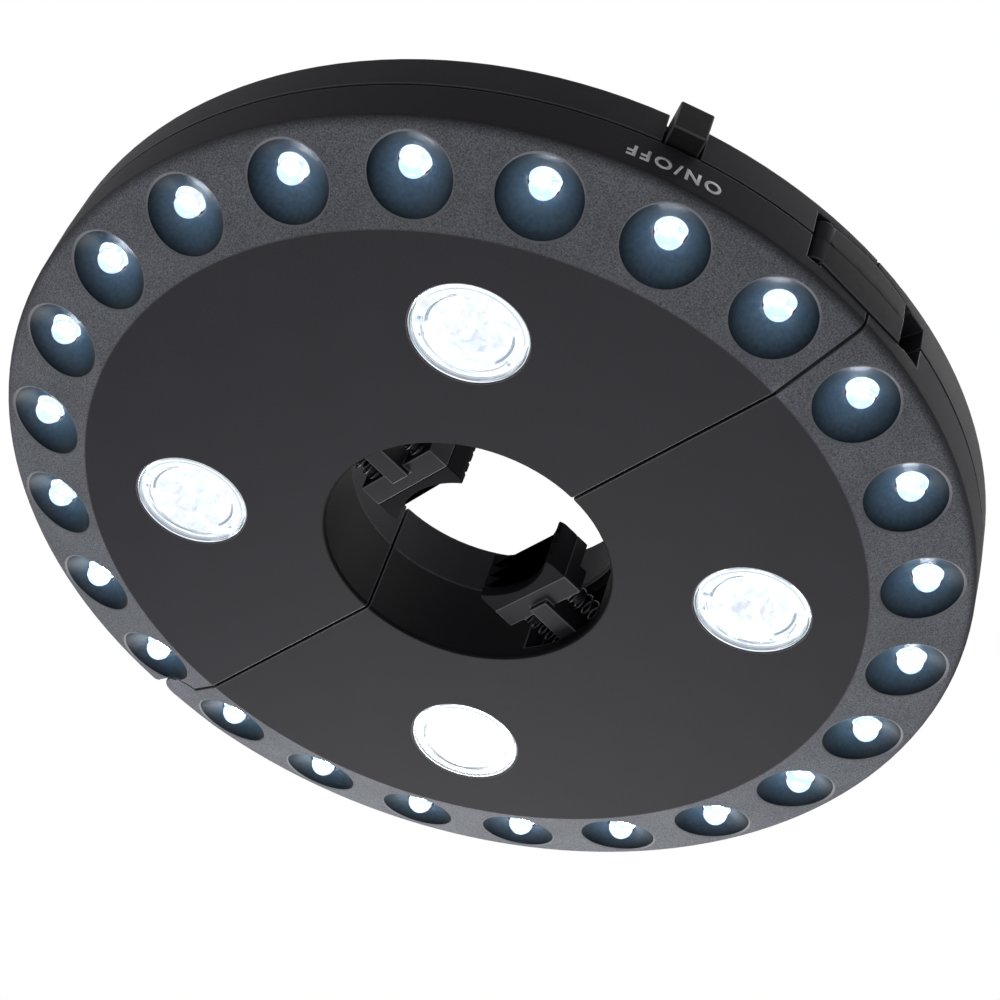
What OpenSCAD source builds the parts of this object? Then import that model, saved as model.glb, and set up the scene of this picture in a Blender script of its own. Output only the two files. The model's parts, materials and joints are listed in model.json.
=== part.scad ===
// Clip-on disc light for a parasol pole. Two half discs swing open on a hinge pin and are
// held shut by a latch lever. Sprung jaws in the middle hole grip the pole. The underside
// carries a ring of small lamps in bowls and four spot lenses, and cells sit under the top.
// Millimetres. The pole's axis is Z, and the flat lit face lies at Z = 0 and looks down.
// The halves meet along the X axis: the hinge is at -X, the latch at +X.

/* [Disc] */
// Outside diameter of the disc
disc_d = 190; // [187:1:198]
// Width of the sloping lamp band around the flat lit face
band_w = 18.5; // [17.5:0.1:19]
// Slope of the lamp band around the flat face, in degrees
band_angle = 18; // [16:0.5:20]
// Radius of the edge between the lamp band and the side
edge_r = 2.2; // [1.5:0.1:3]
// Height of the line where the lower casing meets the cover
parting_h = 16.2; // [16:0.1:17]
// Height of the cover's outer edge
rim_h = 25.2; // [25:0.1:27]
// Thickness of the casing walls
wall = 2; // [1.7:0.1:2.3]
// Gap between the two half discs
split_gap = 0.5; // [0.4:0.1:0.9]
// Diameter of the hole that the pole passes through
hole_d = 56; // [54:1:58]

/* [Ring lamps] */
// Number of small lamps in each half
lamps_per_half = 12; // [10:1:12]
// Distance of the small lamps from the disc's edge
lamp_inset = 8.9; // [8.5:0.1:9.4]
// Diameter of a small lamp's dome
lamp_d = 5; // [4.5:0.1:5.2]
// Radius of the round bowl that each small lamp sits in
bowl_r = 9.9; // [9.5:0.1:10.2]

/* [Spot lenses] */
// Distance of the middles of the spot lenses from the disc's edge
spot_inset = 40; // [39:0.5:41]
// Diameter of a spot lens where it shows
spot_d = 22; // [20:0.5:23]

/* [Pole jaws] */
// Diameter of the pole that the jaws are shown gripping
pole_d = 29.4; // [27:0.1:31]
// Width of a jaw
jaw_w = 19.2; // [18:0.2:20]
// Height of a jaw's gripping face
jaw_h = 11.5; // [10:0.5:11.5]
// How far a jaw moves outwards from the shown place
jaw_out = 8.8; // [6:0.2:8.8]
// How far a jaw moves inwards from the shown place
jaw_in = 3.2; // [2:0.2:3.4]

/* [Cells] */
// Diameter of a cell
cell_d = 14.2; // [13.9:0.1:14.5]
// Length of a cell with its terminal
cell_l = 50.2; // [49.2:0.1:50.5]
// Thickness of a cell door
door_t = 1.6; // [1.4:0.1:2]

/* [Latch and button] */
// Height of the latch lever
latch_h = 10.2; // [8:0.1:10.4]
// Angle that the latch lever spans from its pin to its free end, in degrees
latch_span = 12.4; // [11:0.1:13]
// How far the switch button stands out of the side
button_out = 3.5; // [2:0.1:4]
// Width of the switch button
button_w = 6.2; // [5:0.1:7]

/* [Hanging hooks] */
// Length of a hook from its pin to the middle of its bend
hook_l = 22; // [18:0.5:23]
// Thickness of a hook
hook_t = 3.2; // [2.6:0.1:3.4]

/* [Hidden] */
$fn = 96;
clear = 0.3;      // gap between pieces that move or are dropped in
fit = 0.05;       // radial gap of a pin or screw in its hole
eps = 0.01;
big = 300;

disc_r = disc_d / 2;
spot_ring_r = disc_r - spot_inset;
flat_r = disc_r - band_w;
hole_r = hole_d / 2;
split_y = split_gap / 2;
split_wall = 1.8;

// casing sections
edge_x = disc_r - edge_r;
edge_start = [edge_x + edge_r * sin(band_angle),
              (edge_x + edge_r * sin(band_angle) - flat_r) * tan(band_angle)];
edge_z = edge_start[1] + edge_r * cos(band_angle);
inner_flat_r = flat_r - wall * tan(band_angle / 2);
inner_side_z = wall + (disc_r - wall - inner_flat_r) * tan(band_angle);
groove_h = 0.5;   // visible line between casing and cover
groove_d = 0.7;
lip_r = 0.8;      // softened edges of the hole
rim_taper = 0.3;
rim_bevel = 0.9;
collar_h = parting_h + 1.2;

// lamp board
lamp_ring_r = disc_r - lamp_inset;
bowl_ring_r = lamp_ring_r + 1.4;
bowl_top = 7.1;
bowl_z = bowl_top - bowl_r;
bowl_wall = 1.6;
bowl_drop = (bowl_ring_r - flat_r) * sin(band_angle) - bowl_z * cos(band_angle);
bowl_rim_r = sqrt(bowl_r * bowl_r - bowl_drop * bowl_drop);
lip_slope = 26;                          // softened rim of a bowl, cut by a flatter sphere
lip_w = 0.3;
lamp_base_z = bowl_top + 1.1;
lamp_flange_r = lamp_d / 2 + 0.4;
lamp_flange_t = 1;
lamp_l = 4.9;
lamp_step = 180 / lamps_per_half;
lead_r = 0.3;
lead_pitch = 2.54;
board_z = bowl_top + bowl_wall + 0.7;
board_t = 1.6;
board_top = board_z + board_t;
board_r = lamp_ring_r + 1.9;             // board edge just outside the leads
board_in_r = hole_r + 12;

// cell bay in the cover
bay_gap = 0.5;
bay_floor_t = 1.2;
bay_floor = board_top + bay_gap + bay_floor_t;
bay_l = cell_l + 5.4;
bay_w = 2 * cell_d + 1.2;
bay_wall = 2.4;
bay_y = hole_r + 8.6;                    // the bay's side nearest the pole
ledge = 1.4;
cell_z = bay_floor + 0.1 + cell_d / 2;
door_z = cell_z + cell_d / 2 + 0.4;
crown_h = door_z + door_t;
crown_r = disc_r - 13;
plate_t = 0.4;

// jaws
pole_r = pole_d / 2;
pad_back = pole_r + 1.7;
jaw_z = wall + 2;
jaw_top = jaw_z + jaw_h;
jaw_low_top = 9.6;
jaw_mid = pad_back + 3;
jaw_back = pad_back + 4.8;
horn_y = pole_r - 4;
horn_r = 2.6;
stem_w = 4.4;
stem_z = wall + 0.9;
guide_z = jaw_low_top + clear;
guide_t = 1.4;
runway_h = stem_z - clear;
stop_y = jaw_back + 20.8;                // wall that the jaw springs push against
stop_t = 1.5;
head_y = stop_y + stop_t + clear + jaw_in;
head_t = 1.5;
rail_x = jaw_w / 2 + 0.4;
rail_t = 1.4;
guide_y = jaw_back + jaw_out + 0.4;
spring_r = 2.1;
spring_wire = 0.5;
spring_x = stem_w / 2 + clear + 1 + spring_r + 0.25;
spring_z = stem_z + 3.7;
guide_screw_x = rail_x + rail_t + 3.2;
guide_screw_y = guide_y + 1.2;

// case screws, each in a well of the cover over a stepped post of the casing
screw_r = 1.5;
screw_ring_r = disc_r - 22.4;
screw_places = [[screw_ring_r, -10], [-screw_ring_r, -10],
                screw_ring_r * [cos(45), -sin(45)], -screw_ring_r * [cos(45), sin(45)]];
post_r = 3.7;
post_step_r = 2.6;
post_top = board_top;
well_r = 3.1;
well_floor = post_top + 2;
well_wall = 1.1;

// hinge
hinge_x = -(disc_r - 6);
knuckle_r = 4.4;
hinge_pin_r = 1.5;
knuckle_low = 10.2;
knuckle_gap = 0.3;
hinge_pin_z = [6.8, rim_h - 1.6];

// latch
latch_pin_a = -7.3;
latch_pin_r = 1;
latch_barrel_r = 2.5;
latch_r = disc_r + 0.3;
latch_pin_at = latch_r - latch_barrel_r;
latch_t = 2.3;
bow_bulge = 1.2;
latch_z = parting_h - latch_h / 2 + 0.05;
latch_end_a = latch_pin_a + latch_span;
latch_pin_z = [latch_z - 2.8, latch_z + latch_h + 2.4];
pocket_r = latch_pin_at - latch_barrel_r - clear;
pocket_back = 1.6;
pocket_a = [latch_pin_a - 1.75, latch_end_a + 3.8];
pocket_rim_a = 1.3;
catch_a = [1.5, 2.5];
catch_r = pocket_r + 2;
nose_a = [2.9, 4.1];
nose_r = pocket_r + 0.8;

// switch button
button_a = -25.2;
button_z = [parting_h + 0.8, parting_h + 8];
button_gap = 0.5;
button_travel = 1.2;
flange_t = 1.8;
flange_w = button_w + 3;
flange_top = parting_h + 6;
switch_z = parting_h + 4.1;
stem_l = 4.2;
plunger_r = 1.7;
plunger_l = 3;
switch_l = 5;
switch_w = 6.4;
flange_face = disc_r - wall - 0.45;
button_back = flange_face - flange_t;
switch_face = button_back - stem_l - plunger_l + 1.6;

// hooks
hook_eye = [disc_r - 55.5, -26.5];
hook_barrel_r = hook_t / 2;
hook_barrel_l = 12;
hook_bend = [3.9, 7.3];
hook_pocket_z = crown_h - hook_t - 0.8;
hook_z = crown_h - 0.4 - hook_t / 2;
hook_pin_r = 0.8;
hook_floor_t = 1.3;

// contacts between the halves, close to the hinge
link_x = [hinge_x + 31, hinge_x + 25];
link_z = 7.2;
link_r = 0.9;

plastic = "#2b2a2d";
plastic_dark = "#1d1c1f";
board_green = "#2f5b3a";
steel = "#b9bcc0";
brass = "#c8a860";
clear_plastic = "#e8eef4";

// ---- helpers ----

// A stretch of an arc, as points
function arc(c, r, a0, a1, n) =
    [for (i = [0:n]) let (a = a0 + (a1 - a0) * i / n) [c[0] + r * cos(a), c[1] + r * sin(a)]];

function polar(r, a) = [r * cos(a), r * sin(a)];

// A ring between two radii, two angles and two heights
module sector(r, a, z) {
    reach = 2 * r[1];
    mid = (a[0] + a[1]) / 2;
    translate([0, 0, z[0]])
        intersection() {
            difference() {
                cylinder(r = r[1], h = z[1] - z[0]);
                translate([0, 0, -1]) cylinder(r = r[0], h = z[1] - z[0] + 2);
            }
            linear_extrude(z[1] - z[0])
                polygon([[0, 0], polar(reach, a[0]), polar(reach, mid), polar(reach, a[1])]);
        }
}

// A box given by its two corners
module span(low, high) {
    translate(low) cube(high - low);
}

// What is drawn for the front half, at y < 0, is mirrored for the rear half
module on_side(side) {
    if (side > 0) mirror([0, 1, 0]) children();
    else children();
}

// A pan-head screw pointing down, its head's underside at z = 0, with a cross recess
module screw(r, l, head_r, head_h) {
    difference() {
        union() {
            translate([0, 0, -l]) cylinder(r = r, h = l + eps, $fn = 32);
            cylinder(r1 = head_r, r2 = head_r * 0.8, h = head_h, $fn = 32);
        }
        for (a = [0, 90]) rotate(a)
            translate([-head_r * 0.55, -head_r * 0.1, head_h / 2])
                cube([head_r * 1.1, head_r * 0.2, head_h]);
    }
}

// A wire coil along +Z as one swept tube
module coil(r0, r1, l, turns, wire_d, sides, steps) {
    n = turns * steps;
    wire_r = wire_d / 2;
    ring = [for (i = [0:n]) let (t = i / n, a = 360 * i / steps, r = r0 + (r1 - r0) * t)
        for (k = [0:sides - 1]) let (b = 360 * k / sides)
            [(r - wire_r + wire_r * cos(b)) * cos(a), (r - wire_r + wire_r * cos(b)) * sin(a),
             wire_r + t * (l - wire_d) + wire_r * sin(b)]];
    skin = [for (i = [0:n - 1], k = [0:sides - 1])
        let (a = i * sides + k, b = i * sides + (k + 1) % sides)
            each [[a, b + sides, b], [a, a + sides, b + sides]]];
    caps = [[for (k = [0:sides - 1]) k], [for (k = [sides - 1:-1:0]) n * sides + k]];
    polyhedron(points = ring, faces = concat(skin, caps), convexity = 4);
}

// ---- casing sections, as radius and height ----

module shell_outline() {
    polygon(concat(
        arc([hole_r + lip_r, lip_r], lip_r, -180, -90, 4),
        [[flat_r, 0]],
        arc([edge_x, edge_z], edge_r, -90 + band_angle, 0, 5),
        [[disc_r, parting_h - groove_h / 2], [disc_r - groove_d, parting_h - groove_h / 2],
         [disc_r - groove_d, parting_h], [hole_r, parting_h]]));
}

module shell_section() {
    difference() {
        union() {
            shell_outline();
            translate([hole_r, lip_r]) square([wall, collar_h - lip_r]);
        }
        polygon([[hole_r + wall, wall], [inner_flat_r, wall], [disc_r - wall, inner_side_z],
                 [disc_r - wall, collar_h + 1], [hole_r + wall, collar_h + 1]]);
    }
}

module cover_outline(from_z) {
    polygon(concat([[hole_r, from_z], [disc_r - groove_d, from_z],
        [disc_r - groove_d, parting_h + groove_h / 2], [disc_r, parting_h + groove_h / 2],
        [disc_r - rim_taper, rim_h - rim_bevel], [disc_r - rim_taper - rim_bevel, rim_h],
        [crown_r, crown_h]],
        arc([hole_r + lip_r, crown_h - lip_r], lip_r, 90, 180, 4)));
}

module cover_section() {
    rise = (crown_h - rim_h) / (disc_r - rim_taper - rim_bevel - crown_r);
    drop = wall * sqrt(1 + rise * rise);
    side_top = crown_h + (crown_r - (disc_r - wall)) * rise - drop;
    difference() {
        cover_outline(parting_h);
        polygon([[hole_r + wall, parting_h - 1], [hole_r + wall, crown_h - wall],
            [crown_r + (drop - wall) / -rise, crown_h - wall], [disc_r - wall, side_top],
            [disc_r - wall, parting_h - 1]]);
    }
}

// ---- hinge, shared by the casings ----

module knuckle(z) {
    translate([hinge_x, 0, z[0]]) cylinder(r = knuckle_r, h = z[1] - z[0]);
}

// What is cut off a whole disc to leave the half at y < 0 with its hinge knuckle
module other_half(z) {
    difference() {
        span([-big, -split_y, -big], [big, big, big]);
        knuckle(z);
    }
}

module knuckle_relief(z) {
    translate([hinge_x, 0, z[0]]) cylinder(r = knuckle_r + clear, h = z[1] - z[0]);
}

// Room at the rim for the other half to swing: a notch in front, a flat at the rear
module rim_notch(z) {
    notch = knuckle_r + clear;
    corner = 2;
    difference() {
        span([-disc_r - 5, -notch, -1], [hinge_x, 5, big]);
        knuckle(z);
    }
    difference() {
        span([-disc_r - 5, -notch - corner, -1], [-disc_r + corner, -notch + eps, big]);
        translate([-disc_r + corner + 0.15, -notch - corner, -2]) cylinder(r = corner, h = big);
    }
}

module rim_flat() {
    span([-disc_r - 5, -5 * knuckle_r, -1], [hinge_x - knuckle_r, 1, big]);
}

module hinge_bore(z) {
    translate([hinge_x, 0, z[0]]) cylinder(r = hinge_pin_r + fit, h = z[1] - z[0], $fn = 48);
}

// ---- lower casing ----

module at_lamps() {
    for (i = [0:lamps_per_half - 1])
        rotate(-lamp_step * (i + 0.5)) children();
}

module at_spots() {
    for (a = [-45, -135]) translate(polar(spot_ring_r, a)) children();
}

module at_screws() {
    for (p = screw_places) translate(p) children();
}

module jaw_bed() {
    span([-rail_x - rail_t, -stop_y - stop_t, wall - eps],
         [rail_x + rail_t, -hole_r - eps, runway_h]);
    for (s = [-1, 1]) {
        span([s > 0 ? rail_x : -rail_x - rail_t, -stop_y - stop_t, wall - eps],
             [s > 0 ? rail_x + rail_t : -rail_x, -hole_r + 1, guide_z]);
        span([s > 0 ? stem_w / 2 + clear : -stem_w / 2 - clear - 1, -stop_y - eps, wall - eps],
             [s > 0 ? stem_w / 2 + clear + 1 : -stem_w / 2 - clear, -guide_y - 0.5, guide_z - 1]);
        span([s > 0 ? stem_w / 2 + clear : -rail_x - eps, -stop_y - stop_t, wall - eps],
             [s > 0 ? rail_x + eps : -stem_w / 2 - clear, -stop_y, guide_z]);
        translate([s * spring_x, -stop_y - eps, spring_z]) rotate([-90, 0, 0])
            cylinder(r = 1.3, h = 3, $fn = 32);
        translate([s * guide_screw_x, -guide_screw_y, wall - eps])
            cylinder(r = 2.7, h = guide_z - wall + eps, $fn = 48);
    }
}

// The room behind the band that the bowls' walls may fill, half a wall in from the outside
module bowl_bed() {
    top_z = bowl_top + bowl_wall - 0.05;
    out_r = disc_r - wall / 2;
    polygon([[flat_r - bowl_r, wall / 2], [flat_r, wall / 2],
        [out_r, wall / 2 + (out_r - flat_r) * tan(band_angle)], [out_r, top_z], [flat_r - bowl_r, top_z]]);
}

// A shallow sphere along the band's own axis breaks the bowl's rim
module bowl_lip() {
    rim_r = bowl_rim_r + lip_w;
    ball_r = rim_r / sin(lip_slope);
    out = ball_r * cos(lip_slope) - bowl_drop;
    translate([bowl_ring_r + out * sin(band_angle), 0, bowl_z - out * cos(band_angle)])
        sphere(r = ball_r);
}

module shell_half(z) {
    difference() {
        union() {
            rotate_extrude($fn = 180) shell_section();
            intersection() {
                rotate_extrude($fn = 180) shell_outline();
                span([-disc_r, -split_y - split_wall, 0], [-hole_r - 0.5, 0, parting_h]);
            }
            intersection() {
                rotate_extrude($fn = 180) shell_outline();
                span([hole_r + 0.5, -split_y - split_wall, 0], [disc_r, 0, parting_h]);
            }
            intersection() {
                at_lamps() translate([bowl_ring_r, 0, bowl_z]) sphere(r = bowl_r + bowl_wall);
                rotate_extrude($fn = 180) bowl_bed();
            }
            at_screws() {
                translate([0, 0, wall - eps]) cylinder(r = post_r, h = board_z - wall + eps);
                translate([0, 0, wall]) cylinder(r = post_step_r, h = post_top - wall);
            }
            jaw_bed();
            intersection() {
                rotate_extrude($fn = 180) shell_outline();
                sector([pocket_r - pocket_back, disc_r],
                       [pocket_a[0] - pocket_rim_a, pocket_a[1] + pocket_rim_a],
                       [latch_z - 4, parting_h]);
            }
            intersection() {
                rotate_extrude($fn = 180) shell_outline();
                span([-disc_r, -8, 3], [-disc_r + 15, 8, parting_h]);
            }
        }
        at_lamps() {
            translate([bowl_ring_r, 0, bowl_z]) sphere(r = bowl_r);
            bowl_lip();
            translate([lamp_ring_r, 0, 0])
                cylinder(r = lamp_flange_r + 0.1, h = bowl_top + bowl_wall + 0.1);
        }
        at_spots() translate([0, 0, -1]) cylinder(r = spot_d / 2 + 0.15, h = wall + 2);
        at_screws() translate([0, 0, wall + 1.5]) cylinder(r = screw_r + fit, h = 20);
        span([-jaw_w / 2 - 0.5, -hole_r - wall - eps, runway_h],
             [jaw_w / 2 + 0.5, -hole_r / 2, jaw_top + clear]);
        for (s = [-1, 1]) translate([s * guide_screw_x, -guide_screw_y, wall + 1])
            cylinder(r = 1.1 + fit, h = 12, $fn = 48);
        other_half(z);
    }
}

// The latch lever's outline as seen from the side, with bowed edges
module latch_bow(grow) {
    bow_r = 60;
    mid_y = disc_r * sin(latch_pin_a + latch_span / 2);
    intersection() {
        translate([0, mid_y, latch_z + latch_h + bow_bulge + grow - bow_r]) rotate([0, 90, 0])
            cylinder(r = bow_r, h = big, $fn = 180);
        translate([0, mid_y, latch_z - bow_bulge - grow + bow_r]) rotate([0, 90, 0])
            cylinder(r = bow_r, h = big, $fn = 180);
    }
}

// The pocket that the lever lies in, with the finger recess beyond its free end
module latch_pocket() {
    intersection() {
        sector([pocket_r, disc_r + 5], [pocket_a[0], latch_end_a + 1], [0, big]);
        latch_bow(clear);
    }
    sector([pocket_r, disc_r + 5], [latch_end_a, pocket_a[1]], [latch_z, latch_z + latch_h]);
    sector([pocket_r, disc_r + 5], [pocket_a[0], latch_pin_a],
           [latch_z - bow_bulge, latch_z + latch_h + bow_bulge]);
}

module latch_pin_hole(z) {
    rotate(latch_pin_a) translate([latch_pin_at, 0, z[0]])
        cylinder(r = latch_pin_r + fit, h = z[1] - z[0], $fn = 48);
}

module link_holes() {
    for (x = link_x) translate([x, -split_y - split_wall - 1, link_z]) rotate([-90, 0, 0])
        cylinder(r = link_r + 0.1, h = 6, $fn = 32);
}

module front_shell() {
    layer = [knuckle_low + knuckle_gap, parting_h - knuckle_gap / 2];
    color(plastic) difference() {
        shell_half(layer);
        rim_notch(layer);
        knuckle_relief([-1, layer[0]]);
        hinge_bore([0, big]);
        link_holes();
        latch_pocket();
        latch_pin_hole([latch_pin_z[0] - 0.1, parting_h + 1]);
    }
}

module rear_shell() {
    color(plastic) union() {
        mirror([0, 1, 0]) difference() {
            shell_half([-1, knuckle_low]);
            rim_flat();
            knuckle_relief([knuckle_low, big]);
            hinge_bore([hinge_pin_z[0], big]);
            link_holes();
            mirror([0, 1, 0]) latch_pocket();
        }
        latch_catch();
    }
}

// Rib in the rear pocket that the lever's nose hooks behind
module latch_catch() {
    sector([pocket_r - 0.5, catch_r], catch_a, [latch_z - 1, parting_h]);
}

// ---- cover ----

module at_hook() {
    translate([hook_eye[0], hook_eye[1], hook_z]) children();
}

// The rear hook lies the other way round, so the pocket is mirrored for it
module flip_x(flipped) {
    if (flipped) mirror([1, 0, 0]) children();
    else children();
}

module hook_pocket(grow, z) {
    x0 = hook_eye[0] - hook_barrel_r - 0.5;
    x1 = hook_eye[0] + hook_l + hook_bend[1] + 3;
    half_w = hook_bend[1] + 0.5;
    span([x0 - grow, hook_eye[1] - half_w - grow, z[0]],
         [x1 + grow, hook_eye[1] + half_w + grow, z[1]]);
}

module cover_half(flipped, z) {
    difference() {
        union() {
            rotate_extrude($fn = 180) cover_section();
            intersection() {
                rotate_extrude($fn = 180) cover_outline(parting_h);
                union() {
                    span([-disc_r, -split_y - split_wall, parting_h], [-hole_r - 0.5, 0, big]);
                    span([hole_r + 0.5, -split_y - split_wall, parting_h], [disc_r, 0, big]);
                    span([-disc_r, -8, parting_h], [-disc_r + 15, 8, big]);
                    sector([pocket_r - pocket_back, disc_r],
                           [pocket_a[0] - pocket_rim_a, pocket_a[1] + pocket_rim_a],
                           [parting_h, latch_pin_z[1] + 1]);
                    span([-bay_l / 2 - bay_wall, -bay_y - bay_w - bay_wall, parting_h],
                         [bay_l / 2 + bay_wall, -bay_y + bay_wall, big]);
                    flip_x(flipped) hook_pocket(1.4, [hook_pocket_z - hook_floor_t, big]);
                    at_screws() translate([0, 0, parting_h])
                        cylinder(r = well_r + well_wall, h = big);
                }
            }
            span([-bay_l / 2 - bay_wall, -bay_y - bay_w - bay_wall, bay_floor - bay_floor_t],
                 [bay_l / 2 + bay_wall, -bay_y + bay_wall, parting_h + eps]);
            at_screws() translate([0, 0, post_top])
                cylinder(r = well_r + well_wall, h = parting_h - post_top + eps);
        }
        span([-bay_l / 2, -bay_y - bay_w, bay_floor], [bay_l / 2, -bay_y, big]);
        span([-bay_l / 2 - ledge - clear, -bay_y - bay_w - ledge - clear, door_z],
             [bay_l / 2 + ledge + clear, -bay_y + ledge + clear, big]);
        translate([0, -bay_y - bay_w - ledge, door_z + 0.3]) cylinder(r = 7, h = 10);
        at_screws() {
            translate([0, 0, well_floor]) cylinder(r = well_r, h = 40);
            translate([0, 0, post_top - 1]) cylinder(r = screw_r + 0.2, h = 20);
        }
        flip_x(flipped) {
            hook_pocket(0, [hook_pocket_z, big]);
            at_hook() rotate([90, 0, 0])
                cylinder(r = hook_pin_r + fit, h = 2 * hook_bend[1] + 3.4, center = true, $fn = 32);
        }
        contact_slots();
        cylinder(r = hole_r + wall, h = collar_h);
        other_half(z);
    }
}

module button_slot() {
    rotate(button_a) {
        span([flange_face - button_travel - clear, -button_w / 2 - button_gap,
              parting_h + groove_h / 2],
             [disc_r + 5, button_w / 2 + button_gap, big]);
    }
}

module front_cover() {
    no_layer = [-2, -1];
    color(plastic_dark) difference() {
        cover_half(false, no_layer);
        rim_notch(no_layer);
        knuckle_relief([0, big]);
        button_slot();
        latch_pocket();
        latch_pin_hole([parting_h - 1, latch_pin_z[1] + 0.1]);
    }
}

module rear_cover() {
    color(plastic_dark) mirror([0, 1, 0]) difference() {
        cover_half(true, [parting_h + knuckle_gap / 2, big]);
        rim_flat();
        hinge_bore([0, hinge_pin_z[1] + 0.1]);
        mirror([0, 1, 0]) latch_pocket();
    }
}

// ---- lamp boards and lamps ----

module board_half() {
    difference() {
        translate([0, 0, board_z]) difference() {
            cylinder(r = board_r, h = board_t);
            translate([0, 0, -1]) cylinder(r = board_in_r, h = board_t + 2);
        }
        span([-big, -split_y - split_wall - 0.4, 0], [big, big, big]);
        span([-big, -8.4, 0], [-disc_r + 15.4, 0, big]);
        span([-guide_screw_x - 4, -stop_y - stop_t - 2, 0], [guide_screw_x + 4, 0, big]);
        span([-stem_w / 2 - 2.5, -head_y - head_t - jaw_out - 1, 0], [stem_w / 2 + 2.5, 0, big]);
        at_screws() cylinder(r = post_step_r + 0.2, h = 40);
        at_lamps() for (s = [-1, 1]) translate([lamp_ring_r, s * lead_pitch / 2, 0])
            cylinder(r = lead_r + fit, h = 40, $fn = 16);
    }
}

module front_board() { color(board_green) board_half(); }
module rear_board() { color(board_green) mirror([0, 1, 0]) board_half(); }

// One small lamp on its own axis, dome down, with its two leads
module ring_lamp() {
    rotate_extrude($fn = 48) polygon(concat([[0, 0], [lamp_flange_r, 0],
        [lamp_flange_r, -lamp_flange_t], [lamp_d / 2, -lamp_flange_t]],
        arc([0, lamp_d / 2 - lamp_l], lamp_d / 2, 0, -90, 8)));
    for (s = [-1, 1]) translate([0, s * lead_pitch / 2, -eps])
        cylinder(r = lead_r, h = board_top + 0.4 - lamp_base_z, $fn = 16);
}

module ring_lamps(side) {
    color(clear_plastic) on_side(side) at_lamps() translate([lamp_ring_r, 0, lamp_base_z]) ring_lamp();
}

module front_ring_lamps() { ring_lamps(-1); }
module rear_ring_lamps() { ring_lamps(1); }

// Spot lens: a plug that fills the casing's hole, a flange inside, a collimator and legs
module spot_lens(side, a) {
    plug_r = spot_d / 2;
    top = board_z - 1.2;
    top_r = 4.8;
    well_d = 7;
    leg_r = 0.9;
    color(clear_plastic) on_side(side) translate(polar(spot_ring_r, a)) {
        difference() {
            rotate_extrude() polygon([[0, 0.5], [plug_r - 2.6, 0.5], [plug_r - 2.2, 0], [plug_r, 0],
                [plug_r, wall], [plug_r + 1.3, wall], [plug_r + 1.3, wall + 1.1], [plug_r - 1, wall + 1.1],
                [top_r, top], [0, top]]);
            translate([0, 0, top - 4]) cylinder(d = well_d, h = board_z);
        }
        for (k = [0:2]) rotate(120 * k + 15) translate([plug_r - 0.6, 0, wall + 1])
            cylinder(r = leg_r, h = board_z - wall - 1, $fn = 24);
    }
}

module spot_lens_1() { spot_lens(-1, -45); }
module spot_lens_2() { spot_lens(-1, -135); }
module spot_lens_3() { spot_lens(1, -45); }
module spot_lens_4() { spot_lens(1, -135); }

module spot_leds(side) {
    color("white") on_side(side) at_spots() {
        translate([0, 0, board_z - 0.8]) translate([-2.4, -2.4, 0]) cube([4.8, 4.8, 0.8]);
        translate([0, 0, board_z - 0.8]) intersection() {
            sphere(r = 2, $fn = 48);
            span([-3, -3, -3], [3, 3, eps]);
        }
    }
}

module front_spot_leds() { spot_leds(-1); }
module rear_spot_leds() { spot_leds(1); }

// ---- cells, contacts and doors ----

cell_rows = [-bay_y - 0.3 - cell_d / 2, -bay_y - bay_w + 0.3 + cell_d / 2];

module cell(side, row, turn) {
    body_l = cell_l - 1.2;
    nub_at = bay_l / 2 - plate_t - 0.05;
    color("#3c4a58") on_side(side) translate([0, cell_rows[row], cell_z])
        rotate([0, turn > 0 ? 90 : -90, 0]) translate([0, 0, nub_at - cell_l]) rotate_extrude()
            polygon([[0, 0], [cell_d / 2 - 0.6, 0], [cell_d / 2, 0.6], [cell_d / 2, body_l - 0.8],
                [cell_d / 2 - 0.8, body_l], [2.7, body_l], [2.7, cell_l - 0.3], [2.4, cell_l],
                [0, cell_l]]);
}

module battery_1() { cell(-1, 0, 1); }
module battery_2() { cell(-1, 1, -1); }
module battery_3() { cell(1, 0, -1); }
module battery_4() { cell(1, 1, 1); }

contact_w = cell_d - 3;
contact_z = [bay_floor + 1.5, bay_floor + 12.5];
tail_w = 2;

// Plates at both ends of the bay: two single ones at -X and a linking one at +X
module contact_tail(x, y) {
    span([x, y - tail_w / 2, board_top], [x + plate_t, y + tail_w / 2, contact_z[0] + eps]);
}

module contact_plates(side) {
    x0 = -bay_l / 2;
    x1 = bay_l / 2 - plate_t;
    color(steel) on_side(side) {
        for (y = cell_rows) {
            span([x0, y - contact_w / 2, contact_z[0]], [x0 + plate_t, y + contact_w / 2, contact_z[1]]);
            contact_tail(x0, y);
        }
        span([x1, cell_rows[1] - contact_w / 2, contact_z[0]],
             [x1 + plate_t, cell_rows[0] + contact_w / 2, contact_z[1]]);
        contact_tail(x1, cell_rows[0]);
    }
}

module contact_slots() {
    for (y = cell_rows) span([-bay_l / 2 - eps, y - tail_w / 2 - 0.2, 0],
                             [-bay_l / 2 + plate_t + 0.3, y + tail_w / 2 + 0.2, bay_floor + 1]);
    span([bay_l / 2 - plate_t - 0.3, cell_rows[0] - tail_w / 2 - 0.2, 0],
         [bay_l / 2 + eps, cell_rows[0] + tail_w / 2 + 0.2, bay_floor + 1]);
}

module front_contact_plates() { contact_plates(-1); }
module rear_contact_plates() { contact_plates(1); }

// A spring at the flat end of each cell, between the cell and its plate
module contact_springs(side) {
    gap = bay_l - 2 * plate_t - cell_l - 0.1;
    color(steel) on_side(side) for (row = [0, 1]) {
        toward = side < 0 ? (row == 0 ? -1 : 1) : (row == 0 ? 1 : -1);
        translate([toward * (bay_l / 2 - plate_t), cell_rows[row], cell_z])
            rotate([0, -90 * toward, 0]) coil(4.6, 2.6, gap, 3, 0.6, 6, 14);
    }
}

module front_contact_springs() { contact_springs(-1); }
module rear_contact_springs() { contact_springs(1); }

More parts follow.
